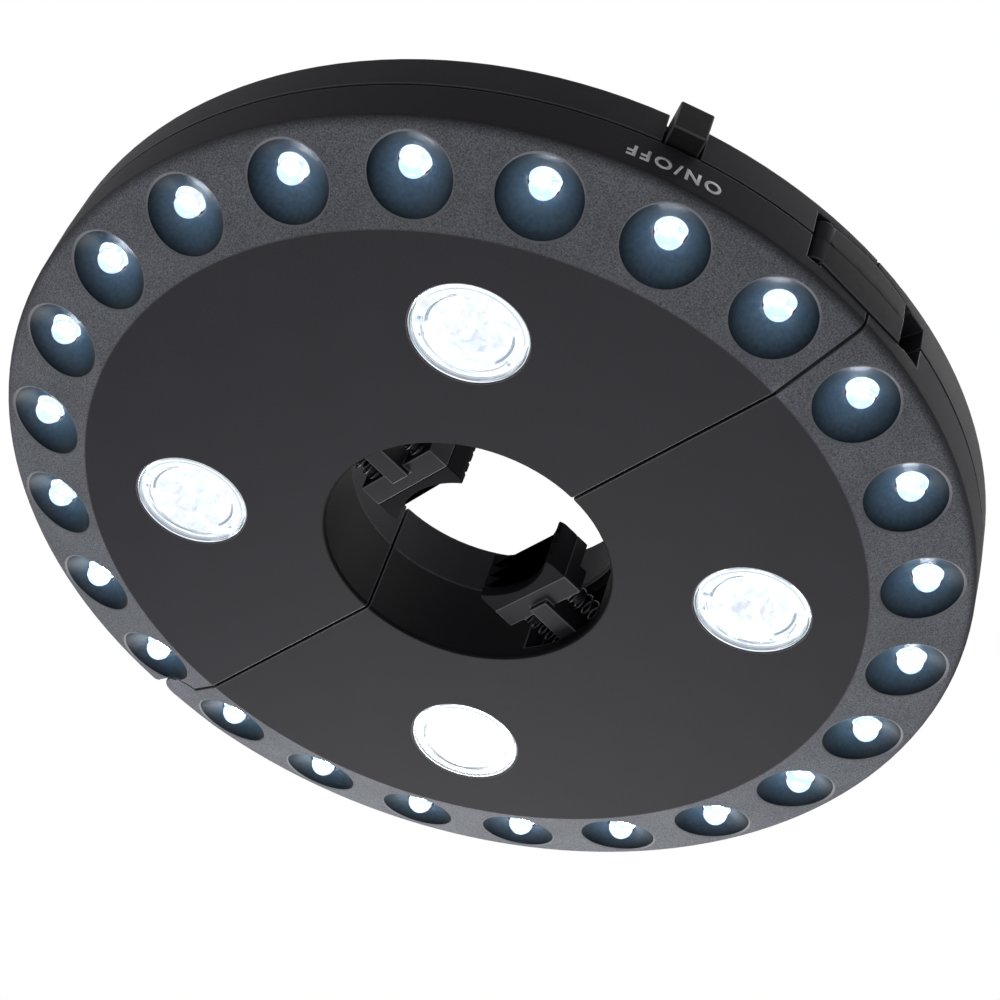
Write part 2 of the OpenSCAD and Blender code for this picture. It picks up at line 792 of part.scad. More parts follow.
module battery_door(side) {
    x = bay_l / 2 + ledge;
    y0 = -bay_y - bay_w - ledge;
    color(plastic_dark) on_side(side) difference() {
        union() {
            span([-x, y0, door_z], [x, -bay_y + ledge, crown_h]);
            for (s = [-1, 1])
                span([s * 18 - 4, -bay_y - 1.6, door_z - 1.6], [s * 18 + 4, -bay_y - 0.4, door_z + eps]);
            span([-5, -bay_y - bay_w + 0.3, door_z - 2.4], [5, -bay_y - bay_w + 1.5, door_z + eps]);
        }
        for (k = [0:4]) span([-9 + k, y0 + 4 + 1.6 * k, crown_h - 0.5],
                             [9 - k, y0 + 4.8 + 1.6 * k, crown_h + 1]);
    }
}

module front_battery_door() { battery_door(-1); }
module rear_battery_door() { battery_door(1); }

// ---- screws and link contacts ----

module case_screws(side) {
    color(steel) on_side(side) at_screws() translate([0, 0, well_floor])
        screw(screw_r, 9, 2.7, 1.8);
}

module front_case_screws() { case_screws(-1); }
module rear_case_screws() { case_screws(1); }

module link_contacts(side, tip) {
    color(brass) on_side(side) for (x = link_x) translate([x, -tip, link_z]) rotate([90, 0, 0]) {
        cylinder(r = link_r, h = 4, $fn = 32);
        translate([0, 0, split_y + split_wall - tip]) cylinder(r = link_r + 0.6, h = 0.8, $fn = 32);
    }
}

module front_link_pins() { link_contacts(-1, 0.05); }
module rear_link_pads() { link_contacts(1, 0.15); }

// ---- jaws ----

module jaw_pad(side) {
    color("#3a393c") on_side(-side) difference() {
        translate([0, 0, jaw_z]) linear_extrude(jaw_h) difference() {
            square_pad();
            circle(r = pole_r, $fn = 128);
        }
        for (k = [1:3]) translate([0, 0, jaw_z + k * jaw_h / 4 - 0.3]) difference() {
            cylinder(r = pole_r + 0.5, h = 0.6, $fn = 128);
            translate([0, 0, -1]) cylinder(r = pole_r - 0.5, h = 3, $fn = 128);
        }
    }
}

// The pad's plan, with rounded horns either side of the pole
module square_pad() {
    translate([-jaw_w / 2, horn_y + horn_r]) square([jaw_w, pad_back - horn_y - horn_r]);
    translate([-jaw_w / 2 + horn_r, horn_y]) square([jaw_w - 2 * horn_r, horn_r + eps]);
    for (s = [-1, 1]) translate([s * (jaw_w / 2 - horn_r), horn_y + horn_r]) circle(r = horn_r, $fn = 48);
}

module jaw(side) {
    color(plastic) on_side(-side) {
        span([-jaw_w / 2, pad_back, jaw_z], [jaw_w / 2, jaw_back, jaw_low_top]);
        span([-jaw_w / 2, pad_back, jaw_low_top - eps], [jaw_w / 2, jaw_mid, jaw_top]);
        span([-stem_w / 2, jaw_back - 2, stem_z], [stem_w / 2, head_y + head_t, jaw_low_top]);
        span([-stem_w / 2 - 1.8, head_y, stem_z], [stem_w / 2 + 1.8, head_y + head_t, jaw_low_top]);
        for (s = [-1, 1]) translate([s * spring_x, jaw_back - eps, spring_z]) rotate([-90, 0, 0])
            cylinder(r = 1.3, h = 3, $fn = 32);
    }
}

module jaw_springs(side) {
    color(steel) on_side(-side) for (s = [-1, 1])
        translate([s * spring_x, jaw_back, spring_z]) rotate([-90, 0, 0])
            coil(spring_r, spring_r, stop_y - jaw_back, 9, spring_wire, 6, 12);
}

module jaw_guide(side) {
    x = rail_x + rail_t;
    color(plastic) on_side(side) difference() {
        union() {
            span([-x, -stop_y - stop_t, guide_z], [x, -guide_y, guide_z + guide_t]);
            for (s = [-1, 1]) translate([s * guide_screw_x, -guide_screw_y, guide_z]) {
                cylinder(r = 2.7, h = guide_t, $fn = 48);
                span([s > 0 ? -4.2 : 0, -2.7, 0], [s > 0 ? 0 : 4.2, 2.7, guide_t]);
            }
        }
        for (s = [-1, 1]) translate([s * guide_screw_x, -guide_screw_y, 0])
            cylinder(r = 1.1 + 0.1, h = 30, $fn = 48);
    }
}

module guide_screws(side) {
    color(steel) on_side(side) for (s = [-1, 1])
        translate([s * guide_screw_x, -guide_screw_y, guide_z + guide_t]) screw(1.1, 6, 2.1, 1.2);
}

module front_jaw() { jaw(-1); }
module rear_jaw() { jaw(1); }
module front_jaw_pad() { jaw_pad(-1); }
module rear_jaw_pad() { jaw_pad(1); }
module front_jaw_springs() { jaw_springs(-1); }
module rear_jaw_springs() { jaw_springs(1); }
module front_jaw_guide() { jaw_guide(-1); }
module rear_jaw_guide() { jaw_guide(1); }
module front_guide_screws() { guide_screws(-1); }
module rear_guide_screws() { guide_screws(1); }

// ---- hinge pin, latch and button ----

module hinge_pin() {
    color(steel) translate([hinge_x, 0, hinge_pin_z[0]])
        cylinder(r = hinge_pin_r, h = hinge_pin_z[1] - hinge_pin_z[0], $fn = 48);
}

module latch_pin() {
    color(steel) rotate(latch_pin_a) translate([latch_pin_at, 0, latch_pin_z[0]])
        cylinder(r = latch_pin_r, h = latch_pin_z[1] - latch_pin_z[0], $fn = 48);
}

module latch_lever() {
    crease = parting_h + 0.3;
    z0 = latch_z - 2;
    z1 = latch_z + latch_h + 2;
    color(plastic_dark) difference() {
        union() {
            intersection() {
                rotate_extrude($fn = 180) polygon([[latch_r - latch_t, z0], [latch_r, z0],
                    [latch_r, crease], [latch_r - 0.5, z1], [latch_r - latch_t, z1]]);
                sector([1, disc_r + 5], [latch_pin_a, latch_end_a], [z0, z1]);
                latch_bow(0);
            }
            rotate(latch_pin_a) translate([latch_pin_at, 0, latch_z])
                cylinder(r = latch_barrel_r, h = latch_h);
            sector([nose_r, latch_r - latch_t / 2], nose_a, [latch_z + 0.5, parting_h]);
        }
        latch_pin_hole([0, big]);
    }
}

module power_button() {
    x1 = disc_r + button_out;
    color(plastic_dark) rotate(button_a) {
        span([flange_face - eps, -button_w / 2, button_z[0]], [x1, button_w / 2, button_z[1]]);
        span([button_back, -flange_w / 2, parting_h + clear], [flange_face, flange_w / 2, flange_top]);
        translate([button_back - stem_l, 0, switch_z]) rotate([0, 90, 0])
            cylinder(r = 1.5, h = stem_l + eps, $fn = 32);
    }
}

module switch_plunger() {
    color("white") rotate(button_a) translate([button_back - stem_l - plunger_l, 0, switch_z])
        rotate([0, 90, 0]) cylinder(r = plunger_r, h = plunger_l, $fn = 32);
}

module switch_body() {
    color("#22242a") rotate(button_a) difference() {
        span([switch_face - switch_l, -switch_w / 2, board_top],
             [switch_face, switch_w / 2, switch_z + plunger_r + 1]);
        translate([switch_face - 3.4, 0, switch_z]) rotate([0, 90, 0])
            cylinder(r = plunger_r + 0.1, h = 10, $fn = 32);
    }
}

// ---- hooks ----

module hook() {
    r = hook_bend;
    color(plastic) at_hook() {
        difference() {
            union() {
                rotate([90, 0, 0]) cylinder(r = hook_barrel_r, h = hook_barrel_l, center = true, $fn = 48);
                span([0, r[0], -hook_t / 2], [hook_l, r[1], hook_t / 2]);
                span([0, -hook_barrel_l / 2, -hook_t / 2], [3, r[1], hook_t / 2]);
                translate([hook_l, 0, -hook_t / 2]) intersection() {
                    difference() {
                        cylinder(r = r[1], h = hook_t);
                        translate([0, 0, -1]) cylinder(r = r[0], h = hook_t + 2);
                    }
                    span([0, -20, -1], [20, 20, 10]);
                }
                span([hook_l - 6, -r[1], -hook_t / 2], [hook_l + eps, -r[0], hook_t / 2]);
            }
            rotate([90, 0, 0]) cylinder(r = hook_pin_r + fit, h = 40, center = true, $fn = 32);
        }
    }
}

module hook_pin() {
    color(steel) at_hook() rotate([90, 0, 0])
        cylinder(r = hook_pin_r, h = 2 * hook_bend[1] + 3, center = true, $fn = 32);
}

module front_hook() { hook(); }
module front_hook_pin() { hook_pin(); }
module rear_hook() { rotate(180) hook(); }
module rear_hook_pin() { rotate(180) hook_pin(); }

front_shell();
front_cover();
front_board();
front_ring_lamps();
spot_lens_1();
spot_lens_2();
front_spot_leds();
battery_1();
battery_2();
front_contact_plates();
front_contact_springs();
front_case_screws();
front_jaw_guide();
front_guide_screws();
front_link_pins();
switch_body();
hinge_pin();
latch_pin();
front_hook_pin();
front_battery_door();
front_jaw();
front_jaw_pad();
front_jaw_springs();
power_button();
switch_plunger();
latch_lever();
front_hook();
rear_shell();
rear_cover();
rear_board();
rear_ring_lamps();
spot_lens_3();
spot_lens_4();
rear_spot_leds();
battery_3();
battery_4();
rear_contact_plates();
rear_contact_springs();
rear_case_screws();
rear_jaw_guide();
rear_guide_screws();
rear_link_pads();
rear_hook_pin();
rear_battery_door();
rear_jaw();
rear_jaw_pad();
rear_jaw_springs();
rear_hook();
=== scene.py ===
import json
import math

import bmesh
import bpy
import numpy as np
from mathutils import Matrix, Vector


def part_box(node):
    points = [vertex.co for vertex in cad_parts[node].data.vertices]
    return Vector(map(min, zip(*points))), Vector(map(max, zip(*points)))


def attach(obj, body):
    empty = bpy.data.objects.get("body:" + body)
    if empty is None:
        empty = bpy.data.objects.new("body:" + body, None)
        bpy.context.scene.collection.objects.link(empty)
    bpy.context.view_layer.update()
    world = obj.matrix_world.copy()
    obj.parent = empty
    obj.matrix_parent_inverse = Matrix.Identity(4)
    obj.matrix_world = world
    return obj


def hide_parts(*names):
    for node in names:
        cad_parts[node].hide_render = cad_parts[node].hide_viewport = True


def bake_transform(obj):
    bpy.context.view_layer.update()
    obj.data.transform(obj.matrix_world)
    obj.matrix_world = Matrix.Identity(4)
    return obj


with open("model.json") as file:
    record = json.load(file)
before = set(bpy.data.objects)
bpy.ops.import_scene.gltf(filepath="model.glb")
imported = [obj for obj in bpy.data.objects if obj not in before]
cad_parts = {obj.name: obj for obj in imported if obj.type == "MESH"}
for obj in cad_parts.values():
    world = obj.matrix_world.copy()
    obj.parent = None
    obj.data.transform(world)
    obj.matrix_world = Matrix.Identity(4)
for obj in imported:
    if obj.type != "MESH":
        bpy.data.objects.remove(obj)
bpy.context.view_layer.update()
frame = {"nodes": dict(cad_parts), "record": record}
nodes = frame["nodes"]
record = frame["record"]
slotOf = {part["node"]: part["material_slot"] for part in record["subparts"]}
bodyOf = {node: body for body, members in record["behaviour"]["bodies"].items() for node in members}
mm = 0.001
halves = {"front": -1, "rear": 1}       # which way each half lies along Y
print("frame loaded:", len(nodes), "nodes")


def deselectAll():
    if bpy.context.mode != "OBJECT":
        bpy.ops.object.mode_set(mode="OBJECT")
    bpy.ops.object.select_all(action="DESELECT")


def pick(piece):
    deselectAll()
    piece.select_set(True)
    bpy.context.view_layer.objects.active = piece


def editAll(piece):
    pick(piece)
    bpy.ops.object.mode_set(mode="EDIT")
    bpy.ops.mesh.select_all(action="SELECT")


def useModifier(piece, kind, **settings):
    pick(piece)
    modifier = piece.modifiers.new(kind.title(), kind)
    for name, value in settings.items():
        setattr(modifier, name, value)
    bpy.ops.object.modifier_apply(modifier=modifier.name)


def tidyMesh(piece, gap=1e-6):
    editAll(piece)
    bpy.ops.mesh.remove_doubles(threshold=gap)
    bpy.ops.mesh.normals_make_consistent(inside=False)
    bpy.ops.object.mode_set(mode="OBJECT")


def joinPieces(name, pieces):
    pick(pieces[0])
    for piece in pieces[1:]:
        piece.select_set(True)
    bpy.ops.object.join()
    pieces[0].name = name
    return pieces[0]


def copyPiece(piece, name, place):
    copied = bpy.data.objects.new(name, piece.data.copy())
    bpy.context.scene.collection.objects.link(copied)
    copied.data.transform(place)
    return copied


def setUp(piece, body, slot, *replaced):
    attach(piece, body)
    if replaced:
        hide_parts(*replaced)
    return piece


# A round piece drawn up loop by loop from a circle; profile holds (radius, height) in mm, and
# one that ends at radius 0 closes in a point
def turnedPiece(name, profile, sides):
    deselectAll()
    firstRadius, firstHeight = profile[0]
    bpy.ops.mesh.primitive_circle_add(vertices=sides, radius=firstRadius * mm,
                                      location=(0, 0, firstHeight * mm))
    piece = bpy.context.object
    piece.name = name
    bpy.ops.object.transform_apply(location=True, rotation=True, scale=True)
    bpy.ops.object.mode_set(mode="EDIT")
    bpy.ops.mesh.select_all(action="SELECT")
    bpy.ops.mesh.edge_face_add()
    tiny = 0.001
    for (radius, height), (nextRadius, nextHeight) in zip(profile, profile[1:]):
        rise = (0, 0, (nextHeight - height) * mm)
        bpy.ops.mesh.extrude_edges_move(TRANSFORM_OT_translate={"value": rise})
        if nextRadius != radius:
            size = max(nextRadius, tiny) / max(radius, tiny)
            bpy.ops.transform.resize(value=(size, size, 1), center_override=(0, 0, nextHeight * mm))
    if profile[-1][0] == 0:
        bpy.ops.mesh.merge(type="CENTER")
    else:
        bpy.ops.mesh.edge_face_add()
    tidyMesh(piece)
    return piece


# Edges that turn by more than this many degrees stay sharp
def smoothPiece(piece, angle):
    pick(piece)
    bpy.ops.object.shade_smooth_by_angle(angle=math.radians(angle), keep_sharp_edges=True)


def paint(piece, *materials):
    piece.data.materials.clear()
    for material in materials:
        piece.data.materials.append(material)


def toLinear(colour):
    shades = [int(colour.lstrip("#")[i:i + 2], 16) / 255 for i in (0, 2, 4)]
    return [c / 12.92 if c <= 0.04045 else ((c + 0.055) / 1.055) ** 2.4 for c in shades] + [1]


# Adds one node with its settings, and with a value or a link for each of the sockets given. By
# number, a Mix of colours takes its share in 0 and its colours in 6 and 7, and a MapRange its
# value in 0, what it ranges from in 1 and 2, and what it ranges to in 3 and 4
def addNode(tree, kind, inputs=(), **settings):
    node = tree.nodes.new("ShaderNode" + kind)
    for name, value in settings.items():
        setattr(node, name, value)
    for socket, value in dict(inputs).items():
        if isinstance(value, bpy.types.NodeSocket):
            tree.links.new(value, node.inputs[socket])
        else:
            node.inputs[socket].default_value = value
    return node


def linkTo(tree, shader, **outputs):
    for socket, output in outputs.items():
        tree.links.new(output, shader.inputs[socket.replace("_", " ")])


def newMaterial(name, **settings):
    material = bpy.data.materials.new(name)
    material.use_nodes = True
    tree = material.node_tree
    shader = tree.nodes["Principled BSDF"]
    for socket, value in settings.items():
        shader.inputs[socket.replace("_", " ")].default_value = value
    place = addNode(tree, "TexCoord").outputs["Object"]
    return material, tree, shader, place


# The distance from the pole axis, and the height
def axisPlace(tree, place):
    flatPlace = addNode(tree, "VectorMath", {0: place, 1: (1, 1, 0)}, operation="MULTIPLY").outputs[0]
    outward = addNode(tree, "VectorMath", {0: flatPlace}, operation="LENGTH").outputs["Value"]
    return outward, addNode(tree, "SeparateXYZ", {0: place}).outputs["Z"]


noiseSpan = {1: 0.3, 2: 0.7}            # nearly all of a noise's values lie between these

casingLook = {
    # dark and light shade of each surface's grain; the bore's pair is painted shade, darker than the face
    # the band's pair is lighter than the face's, partly from the coarser etching and partly as painted
    # light
    "face": ("#27262b", "#302f34"), "band": ("#404247", "#787b82"), "wall": ("#26252a", "#302f34"),
    "paintedBoreShade": ("#0e0d11", "#151418"), "cloud": "#232226", "cloudMost": 0.22,
    # mm; a real grain is finer, and wouldn't show
    "faceGrain": 0.4, "bandGrain": 0.3, "cloudSize": 11.0, "reliefDepth": 0.05,
    # mm; where one surface passes into the next, and how softly
    "flatR": 76.5, "flatBlend": 0.2, "boreR": 28.4, "boreBlend": 0.4, "bandTop": 6.5, "bandBlend": 0.8,
    "roughness": (0.54, 0.7), "faceRelief": 0.1, "bandRelief": 0.4, "specular": 0.05,
}


# ABS, moulded against an etched tool: charcoal and dull, smooth to the eye on the flat face and
# finely speckled on the lamp band, where the etching is coarser; the band's lighter tone is partly painted
# light, as if more light falls on the sloped band
def mouldedAbs():
    look = casingLook
    material, tree, shader, place = newMaterial("mouldedAbsEtched", Specular_IOR_Level=look["specular"])
    outward, height = axisPlace(tree, place)
    fine = addNode(tree, "TexNoise", {"Vector": place, "Scale": 1 / (look["faceGrain"] * mm),
                                      "Detail": 2, "Roughness": 0.6}).outputs["Fac"]
    coarse = addNode(tree, "TexNoise", {"Vector": place, "Scale": 1 / (look["bandGrain"] * mm),
                                        "Detail": 2, "Roughness": 0.7}).outputs["Fac"]
    cloud = addNode(tree, "TexNoise", {"Vector": place, "Scale": 1 / (look["cloudSize"] * mm),
                                       "Detail": 3}).outputs["Fac"]
    fineShare = addNode(tree, "MapRange", {0: fine, **noiseSpan}).outputs[0]
    coarseShare = addNode(tree, "MapRange", {0: coarse, **noiseSpan}).outputs[0]
    shades = {}
    for name in ("face", "band", "wall", "paintedBoreShade"):
        dark, light = look[name]
        share = coarseShare if name == "band" else fineShare
        shades[name] = addNode(tree, "Mix", {0: share, 6: toLinear(dark), 7: toLinear(light)},
                               data_type="RGBA").outputs[2]
    pastFlat = addNode(tree, "MapRange", {0: outward, 1: (look["flatR"] - look["flatBlend"]) * mm,
                                          2: (look["flatR"] + look["flatBlend"]) * mm}).outputs[0]
    # inside the bore the colour turns to painted shade
    pastBoreShade = addNode(tree, "MapRange", {0: outward, 1: look["boreR"] * mm,
                                          2: (look["boreR"] + look["boreBlend"]) * mm}).outputs[0]
    pastBand = addNode(tree, "MapRange", {0: height, 1: (look["bandTop"] - look["bandBlend"]) * mm,
                                          2: (look["bandTop"] + look["bandBlend"]) * mm}).outputs[0]
    colour = addNode(tree, "Mix", {0: pastFlat, 6: shades["face"], 7: shades["band"]},
                     data_type="RGBA").outputs[2]
    colour = addNode(tree, "Mix", {0: pastBand, 6: colour, 7: shades["wall"]},
                     data_type="RGBA").outputs[2]
    colour = addNode(tree, "Mix", {0: pastBoreShade, 6: shades["paintedBoreShade"], 7: colour},
                     data_type="RGBA").outputs[2]
    cloudShare = addNode(tree, "MapRange", {0: cloud, **noiseSpan, 3: 0, 4: look["cloudMost"]}).outputs[0]
    colour = addNode(tree, "Mix", {0: cloudShare, 6: colour, 7: toLinear(look["cloud"])},
                     data_type="RGBA").outputs[2]
    low, high = look["roughness"]
    dullness = addNode(tree, "MapRange", {0: fine, **noiseSpan, 3: low, 4: high}).outputs[0]
    strength = addNode(tree, "MapRange", {0: pastFlat, 1: 0, 2: 1, 3: look["faceRelief"],
                                          4: look["bandRelief"]}).outputs[0]
    relief = addNode(tree, "Bump", {"Height": coarse, "Strength": strength,
                                    "Distance": look["reliefDepth"] * mm}).outputs[0]
    linkTo(tree, shader, Base_Color=colour, Roughness=dullness, Normal=relief)
    return material


plasticLook = {"cloudSize": 14, "grainMost": 0.65, "cloudMost": 0.35, "glossier": 0.06, "duller": 0.08,
               "relief": 0.2}


# Thermoplastic moulded in one colour: a fine even grain of its own, faint clouds, and no streaks
def mouldedPlastic(name, dark, light, grain, roughness, depth=0.03, specular=0.05):
    look = plasticLook
    material, tree, shader, place = newMaterial(name, Specular_IOR_Level=specular)
    fine = addNode(tree, "TexNoise", {"Vector": place, "Scale": 1 / (grain * mm), "Detail": 2,
                                      "Roughness": 0.6}).outputs["Fac"]
    cloud = addNode(tree, "TexNoise", {"Vector": place, "Scale": 1 / (look["cloudSize"] * mm),
                                       "Detail": 2}).outputs["Fac"]
    fineShare = addNode(tree, "MapRange", {0: fine, **noiseSpan, 3: 0, 4: look["grainMost"]}).outputs[0]
    cloudShare = addNode(tree, "MapRange", {0: cloud, **noiseSpan, 3: 0, 4: look["cloudMost"]}).outputs[0]
    share = addNode(tree, "Math", {0: fineShare, 1: cloudShare}, operation="ADD").outputs[0]
    colour = addNode(tree, "Mix", {0: share, 6: toLinear(dark), 7: toLinear(light)},
                     data_type="RGBA").outputs[2]
    dullness = addNode(tree, "MapRange", {0: fine, **noiseSpan, 3: roughness - look["glossier"],
                                          4: roughness + look["duller"]}).outputs[0]
    relief = addNode(tree, "Bump", {"Height": fine, "Strength": look["relief"],
                                    "Distance": depth * mm}).outputs[0]
    linkTo(tree, shader, Base_Color=colour, Roughness=dullness, Normal=relief)
    return material


bowlLook = {
    # rim: the bowl's own dark tone; deep: a lighter blue that is painted lamp light pooled in the bowl
    "rim": ("#10161c", "#161d25"), "deep": ("#3d505f", "#495d6d"), "grain": 0.8,
    "from": 0.3, "to": 3.2,             # mm below the band, where the shade starts and ends to change
    "lean": 18, "roughness": (0.39, 0.53), "specular": 0.1,
}


# The casing's plastic polished in the tool: dark at the rim, with the lamp's cold light painted in
# as a lighter blue tone deep in each bowl
def polishedBowlWithLampLight():
    look = bowlLook
    material, tree, shader, place = newMaterial("polishedAbsBowlPaintedLampLight", Specular_IOR_Level=look["specular"])
    outward, height = axisPlace(tree, place)
    lean = math.radians(look["lean"])
    pastFlat = addNode(tree, "Math", {0: outward, 1: casingLook["flatR"] * mm},
                       operation="SUBTRACT").outputs[0]
    slope = addNode(tree, "Math", {0: pastFlat, 1: -math.sin(lean)}, operation="MULTIPLY").outputs[0]
    depth = addNode(tree, "Math", {0: height, 1: math.cos(lean), 2: slope},
                    operation="MULTIPLY_ADD").outputs[0]
    # share of painted lamp light, growing with depth below the band
    paintedLampLightShare = addNode(tree, "MapRange", {0: depth, 1: look["from"] * mm, 2: look["to"] * mm}).outputs[0]
    fine = addNode(tree, "TexNoise", {"Vector": place, "Scale": 1 / (look["grain"] * mm),
                                      "Detail": 2}).outputs["Fac"]
    share = addNode(tree, "MapRange", {0: fine, **noiseSpan}).outputs[0]
    rim, deep = [addNode(tree, "Mix", {0: share, 6: toLinear(dark), 7: toLinear(light)},
                         data_type="RGBA").outputs[2] for dark, light in (look["rim"], look["deep"])]
    colour = addNode(tree, "Mix", {0: paintedLampLightShare, 6: rim, 7: deep}, data_type="RGBA").outputs[2]
    low, high = look["roughness"]
    dullness = addNode(tree, "MapRange", {0: fine, **noiseSpan, 3: low, 4: high}).outputs[0]
    linkTo(tree, shader, Base_Color=colour, Roughness=dullness)
    return material


metalLook = {"streak": 1.2, "glossier": 0.06, "duller": 0.1, "relief": 0.08, "reliefDepth": 0.02}


# Metal drawn, rolled or turned: soft streaks along the way it was worked, brighter where it is
# polished; stretch squeezes the streaks along the axis that they run across
def workedMetal(name, dark, light, roughness, stretch=(1, 1, 14)):
    look = metalLook
    material, tree, shader, place = newMaterial(name, Metallic=1.0)
    along = addNode(tree, "Mapping", {"Vector": place, "Scale": stretch}).outputs[0]
    streak = addNode(tree, "TexNoise", {"Vector": along, "Scale": 1 / (look["streak"] * mm),
                                        "Detail": 3, "Roughness": 0.6}).outputs["Fac"]
    share = addNode(tree, "MapRange", {0: streak, **noiseSpan}).outputs[0]
    colour = addNode(tree, "Mix", {0: share, 6: toLinear(dark), 7: toLinear(light)},
                     data_type="RGBA").outputs[2]
    dullness = addNode(tree, "MapRange", {0: streak, **noiseSpan, 3: roughness - look["glossier"],
                                          4: roughness + look["duller"]}).outputs[0]
    relief = addNode(tree, "Bump", {"Height": streak, "Strength": look["relief"],
                                    "Distance": look["reliefDepth"] * mm}).outputs[0]
    linkTo(tree, shader, Base_Color=colour, Roughness=dullness, Normal=relief)
    return material


clearLook = {"roughness": 0.02, "haze": 2.5}


# Clear plastic with a faint haze: bright edges, and a little light of its own where a lamp
# shines through it
def clearPlastic(name, tint, ior, glow, glowStrength):
    material, tree, shader, place = newMaterial(
        name, Roughness=clearLook["roughness"], IOR=ior, Transmission_Weight=1.0,
        Emission_Color=toLinear(glow), Emission_Strength=glowStrength)
    cloud = addNode(tree, "TexNoise", {"Vector": place, "Scale": 1 / (clearLook["haze"] * mm),
                                       "Detail": 2}).outputs["Fac"]
    share = addNode(tree, "MapRange", {0: cloud, **noiseSpan}).outputs[0]
    colour = addNode(tree, "Mix", {0: share, 6: toLinear(tint), 7: toLinear("#ffffff")},
                     data_type="RGBA").outputs[2]
    linkTo(tree, shader, Base_Color=colour)
    return material


litLook = {"unlit": "#3a3d40", "roughness": 0.4, "swirlSpan": {1: 0.34, 2: 0.52}, "warp": 1.2}


# Something lit from within: nearly white, with faint swirls where its thickness changes
def litSurface(name, dim, bright, strength, swirl):
    look = litLook
    material, tree, shader, place = newMaterial(
        name, Roughness=look["roughness"], Emission_Strength=strength, Base_Color=toLinear(look["unlit"]))
    cloud = addNode(tree, "TexNoise", {"Vector": place, "Scale": 1 / (swirl * mm), "Detail": 3,
                                       "Distortion": look["warp"]}).outputs["Fac"]
    share = addNode(tree, "MapRange", {0: cloud, **look["swirlSpan"]}).outputs[0]
    colour = addNode(tree, "Mix", {0: share, 6: toLinear(dim), 7: toLinear(bright)},
                     data_type="RGBA").outputs[2]
    linkTo(tree, shader, Emission_Color=colour)
    return material


boardLook = {"green": ("#1e4a2c", "#275a36"), "track": "#4a7d45", "ringsPerMm": 0.16, "wander": 0.4,
             "trackEdge": {1: 0.72, 2: 0.78}, "weave": 0.7, "roughness": 0.35, "relief": 0.3,
             "trackHigh": 0.04}


# Glass-epoxy board under green solder mask: satin, with copper tracks that show through as
# lighter rings
def solderMask():
    look = boardLook
    material, tree, shader, place = newMaterial("solderMaskGlassEpoxy", Roughness=look["roughness"])
    rings = addNode(tree, "TexWave", {"Vector": place, "Scale": look["ringsPerMm"] / mm,
                                      "Distortion": look["wander"], "Detail": 1},
                    wave_type="RINGS", rings_direction="Z", wave_profile="SIN").outputs["Fac"]
    weave = addNode(tree, "TexNoise", {"Vector": place, "Scale": 1 / (look["weave"] * mm),
                                       "Detail": 2}).outputs["Fac"]
    track = addNode(tree, "MapRange", {0: rings, **look["trackEdge"]}).outputs[0]
    share = addNode(tree, "MapRange", {0: weave, **noiseSpan}).outputs[0]
    dark, light = look["green"]
    green = addNode(tree, "Mix", {0: share, 6: toLinear(dark), 7: toLinear(light)},
                    data_type="RGBA").outputs[2]
    colour = addNode(tree, "Mix", {0: track, 6: green, 7: toLinear(look["track"])},
                     data_type="RGBA").outputs[2]
    relief = addNode(tree, "Bump", {"Height": track, "Strength": look["relief"],
                                    "Distance": look["trackHigh"] * mm}).outputs[0]
    linkTo(tree, shader, Base_Color=colour, Normal=relief)
    return material


casing = mouldedAbs()
bowlGlossAndLampLight = polishedBowlWithLampLight()
boardMask = solderMask()

# Plastics: dark and light shade, grain in mm, roughness, depth of the grain in mm, specular level.
# Covers are a shade smoother than the casing; edges are painted lighter as rubbed wear and as a painted
# highlight, and the bowl lips are painted pale as a highlight
cover = mouldedPlastic("mouldedAbsSatin", "#242327", "#302f34", 0.45, 0.55)
latchAbs = mouldedPlastic("mouldedAbsLatch", "#1d1c20", "#29282c", 0.45, 0.55, 0.03, 0.03)
buttonAbs = mouldedPlastic("mouldedAbsButton", "#1c1c1d", "#272728", 0.4, 0.5)
jawAbs = mouldedPlastic("mouldedAbsJaw", "#1d1c20", "#27262a", 0.5, 0.5)
# painted edge highlight as well as rubbed wear: the lighter plastic on bevel faces
wornAndLitEdge = mouldedPlastic("mouldedAbsWornEdgeAndHighlight", "#414045", "#555459", 0.3, 0.45, 0.02, 0.1)
# painted highlight: the pale plastic on the bowl lips
lipPaintedHighlight = mouldedPlastic("mouldedAbsBowlLipPaintedHighlight", "#5c5e64", "#74767c", 0.3, 0.5, 0.02, 0.1)
rubber = mouldedPlastic("mouldedTpeRubber", "#19181c", "#222125", 0.35, 0.75, 0.05, 0.03)
switchPlastic = mouldedPlastic("mouldedNylonSwitch", "#121214", "#1b1b1e", 0.5, 0.5)
plungerPlastic = mouldedPlastic("mouldedAcetalPlunger", "#d0d0ca", "#e4e3dd", 0.6, 0.4, 0.02, 0.5)
sleeve = mouldedPlastic("shrinkSleevePvc", "#2a3642", "#3b4a58", 2.0, 0.28, 0.01, 0.5)
ledBody = mouldedPlastic("mouldedPpaLampBody", "#d8d8d2", "#efefe9", 0.5, 0.45, 0.01, 0.5)
# painted shade: grey arcs in the lit optic's groove; the legs and pips take it too
paintedLensShade = mouldedPlastic("lensEdgePaintedShade", "#a9b2bc", "#c9d0d7", 1.2, 0.4, 0.01, 0.3)
ink = mouldedPlastic("padPrintInk", "#c0c0c4", "#dcdcdf", 0.3, 0.55, 0.01, 0.4)

